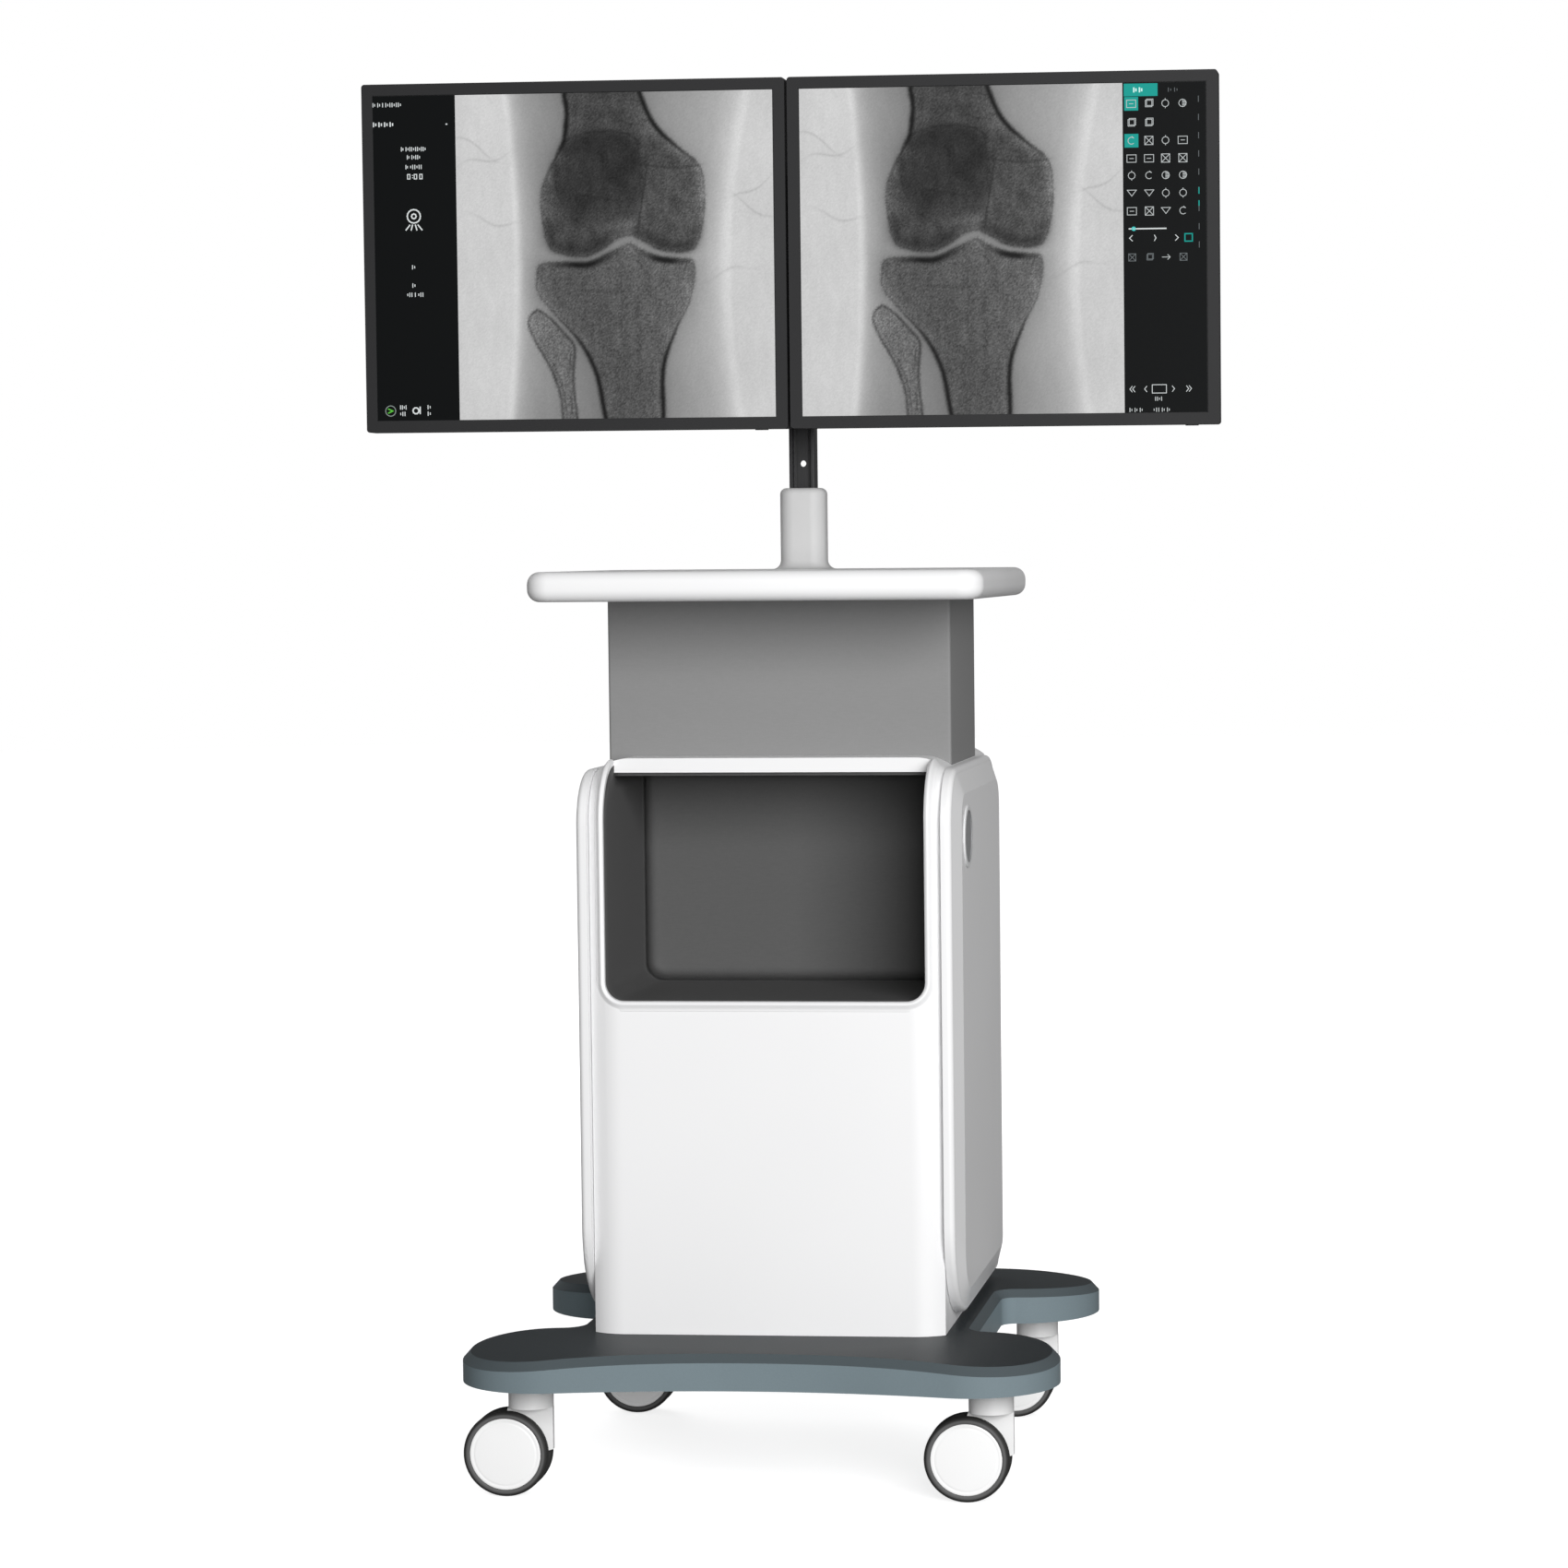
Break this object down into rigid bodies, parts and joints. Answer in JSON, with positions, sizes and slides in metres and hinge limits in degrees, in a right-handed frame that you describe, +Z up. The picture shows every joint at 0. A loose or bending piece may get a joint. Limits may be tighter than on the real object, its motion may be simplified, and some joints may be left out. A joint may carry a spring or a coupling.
{
  "type": "medical workstation trolley with twin monitors",
  "caption": "Wheeled clinical workstation: twin flat monitors on a clamp post, worktop, open storage bay, enclosed body and twin-wheel castors.",
  "frame": {"origin": "on the floor, in the middle of the wheelbase", "axes": "+Z up, the screens and the storage bay face -Y, +X to the viewer's right"},
  "size_m": [0.7964, 0.508, 1.271],
  "materials": {
    "slate_plastic": "satin moulded plastic, slate",
    "zinc_steel": "zinc plated",
    "white_shell": "satin white moulding",
    "liner_grey": "fine textured dark grey",
    "computer_grey": "powder coat",
    "transformer_iron": "varnished winding",
    "panel_grey": "fine textured powder coat",
    "black_plastic": "moulded black plastic",
    "gloss_white": "soft gloss off-white",
    "badge_metal": "satin",
    "worktop_white": "satin white",
    "post_black": "black anodised",
    "bezel_charcoal": "satin charcoal",
    "screen_glass": "anti-glare",
    "castor_white": "satin white",
    "hub_white": "smooth white",
    "tyre_black": "soft tread"
  },
  "bodies": {
    "trolley": {"base_cover": "slate_plastic", "base_frame": "zinc_steel", "front_shell": "white_shell", "storage_liner": "liner_grey", "top_plate": "zinc_steel", "chassis_frame": "zinc_steel", "computer_unit": "computer_grey", "isolation_transformer": "transformer_iron", "rear_panel": "panel_grey", "rear_panel_screws": "zinc_steel", "mains_inlet": "black_plastic", "equipotential_pin": "zinc_steel", "side_panel_left": "gloss_white", "side_panel_right": "gloss_white", "side_badges": "badge_metal", "neck_box": "panel_grey", "worktop": "worktop_white", "post_collar": "white_shell", "post_socket": "zinc_steel", "monitor_post": "post_black", "post_cap": "black_plastic", "stop_collar": "post_black"},
    "mains_rocker": {"power_rocker": "black_plastic"},
    "carriage_slide_body": {"carriage": "post_black", "swivel_pin": "zinc_steel"},
    "clamp_knob_body": {"clamp_knob": "black_plastic"},
    "crossbar_body": {"crossbar": "post_black", "tilt_pins": "zinc_steel"},
    "monitor_left": {"bezel_left": "bezel_charcoal", "lcd_panel_left": "screen_glass", "monitor_back_left": "bezel_charcoal", "tilt_bracket_left": "post_black", "vesa_screws_left": "zinc_steel"},
    "power_key_left": {"power_button_left": "black_plastic"},
    "monitor_right": {"bezel_right": "bezel_charcoal", "lcd_panel_right": "screen_glass", "monitor_back_right": "bezel_charcoal", "tilt_bracket_right": "post_black", "vesa_screws_right": "zinc_steel"},
    "power_key_right": {"power_button_right": "black_plastic"},
    "castor_fl": {"castor_fl_fork": "castor_white"},
    "castor_fl_wheel_front": {"castor_fl_hub_front": "hub_white", "castor_fl_tyre_front": "tyre_black"},
    "castor_fl_wheel_rear": {"castor_fl_hub_rear": "hub_white", "castor_fl_tyre_rear": "tyre_black"},
    "castor_fr": {"castor_fr_fork": "castor_white"},
    "castor_fr_wheel_front": {"castor_fr_hub_front": "hub_white", "castor_fr_tyre_front": "tyre_black"},
    "castor_fr_wheel_rear": {"castor_fr_hub_rear": "hub_white", "castor_fr_tyre_rear": "tyre_black"},
    "castor_rl": {"castor_rl_fork": "castor_white"},
    "castor_rl_wheel_front": {"castor_rl_hub_front": "hub_white", "castor_rl_tyre_front": "tyre_black"},
    "castor_rl_wheel_rear": {"castor_rl_hub_rear": "hub_white", "castor_rl_tyre_rear": "tyre_black"},
    "castor_rr": {"castor_rr_fork": "castor_white"},
    "castor_rr_wheel_front": {"castor_rr_hub_front": "hub_white", "castor_rr_tyre_front": "tyre_black"},
    "castor_rr_wheel_rear": {"castor_rr_hub_rear": "hub_white", "castor_rr_tyre_rear": "tyre_black"}
  },
  "joints": [
    {"name": "mains_rocker_tip", "type": "hinge", "parent": "trolley", "child": "mains_rocker", "pos_m": [-0.105, 0.186, 0.247], "axis": [1, 0, 0], "range_deg": [0, 16]},
    {"name": "head_height", "type": "slide", "parent": "trolley", "child": "carriage_slide_body", "axis": [0, 0, 1], "range_m": [-0.04, 0.085]},
    {"name": "clamp_knob_turn", "type": "hinge", "parent": "carriage_slide_body", "child": "clamp_knob_body", "pos_m": [0, 0.13, 1.05], "axis": [0, 1, 0], "range_deg": [0, 180]},
    {"name": "head_swivel", "type": "hinge", "parent": "carriage_slide_body", "child": "crossbar_body", "pos_m": [0, 0.084, 1.05], "axis": [0, 0, 1], "range_deg": [-20, 20]},
    {"name": "tilt_left", "type": "hinge", "parent": "crossbar_body", "child": "monitor_left", "pos_m": [-0.1997, 0.084, 1.11], "axis": [-1, 0, 0], "range_deg": [-5, 15]},
    {"name": "power_key_left_press", "type": "slide", "parent": "monitor_left", "child": "power_key_left", "axis": [0, 0, 1], "range_m": [0, 0.0009], "stiffness_N_per_m": 600},
    {"name": "tilt_right", "type": "hinge", "parent": "crossbar_body", "child": "monitor_right", "pos_m": [0.1997, 0.084, 1.11], "axis": [-1, 0, 0], "range_deg": [-5, 15]},
    {"name": "power_key_right_press", "type": "slide", "parent": "monitor_right", "child": "power_key_right", "axis": [0, 0, 1], "range_m": [0, 0.0009], "stiffness_N_per_m": 600},
    {"name": "castor_fl_swivel", "type": "hinge", "parent": "trolley", "child": "castor_fl", "pos_m": [-0.206, -0.185, 0.1], "axis": [0, 0, 1], "continuous": true},
    {"name": "castor_fl_wheel_front_spin", "type": "hinge", "parent": "castor_fl", "child": "castor_fl_wheel_front", "pos_m": [-0.227, -0.185, 0.038], "axis": [0, 1, 0], "continuous": true},
    {"name": "castor_fl_wheel_rear_spin", "type": "hinge", "parent": "castor_fl", "child": "castor_fl_wheel_rear", "pos_m": [-0.227, -0.185, 0.038], "axis": [0, 1, 0], "continuous": true},
    {"name": "castor_fr_swivel", "type": "hinge", "parent": "trolley", "child": "castor_fr", "pos_m": [0.206, -0.185, 0.1], "axis": [0, 0, 1], "continuous": true},
    {"name": "castor_fr_wheel_front_spin", "type": "hinge", "parent": "castor_fr", "child": "castor_fr_wheel_front", "pos_m": [0.185, -0.185, 0.038], "axis": [0, 1, 0], "continuous": true},
    {"name": "castor_fr_wheel_rear_spin", "type": "hinge", "parent": "castor_fr", "child": "castor_fr_wheel_rear", "pos_m": [0.185, -0.185, 0.038], "axis": [0, 1, 0], "continuous": true},
    {"name": "castor_rl_swivel", "type": "hinge", "parent": "trolley", "child": "castor_rl", "pos_m": [-0.206, 0.185, 0.1], "axis": [0, 0, 1], "continuous": true},
    {"name": "castor_rl_wheel_front_spin", "type": "hinge", "parent": "castor_rl", "child": "castor_rl_wheel_front", "pos_m": [-0.185, 0.185, 0.038], "axis": [0, 1, 0], "continuous": true},
    {"name": "castor_rl_wheel_rear_spin", "type": "hinge", "parent": "castor_rl", "child": "castor_rl_wheel_rear", "pos_m": [-0.185, 0.185, 0.038], "axis": [0, 1, 0], "continuous": true},
    {"name": "castor_rr_swivel", "type": "hinge", "parent": "trolley", "child": "castor_rr", "pos_m": [0.206, 0.185, 0.1], "axis": [0, 0, 1], "continuous": true},
    {"name": "castor_rr_wheel_front_spin", "type": "hinge", "parent": "castor_rr", "child": "castor_rr_wheel_front", "pos_m": [0.185, 0.185, 0.038], "axis": [0, 1, 0], "continuous": true},
    {"name": "castor_rr_wheel_rear_spin", "type": "hinge", "parent": "castor_rr", "child": "castor_rr_wheel_rear", "pos_m": [0.185, 0.185, 0.038], "axis": [0, 1, 0], "continuous": true}
  ]
}
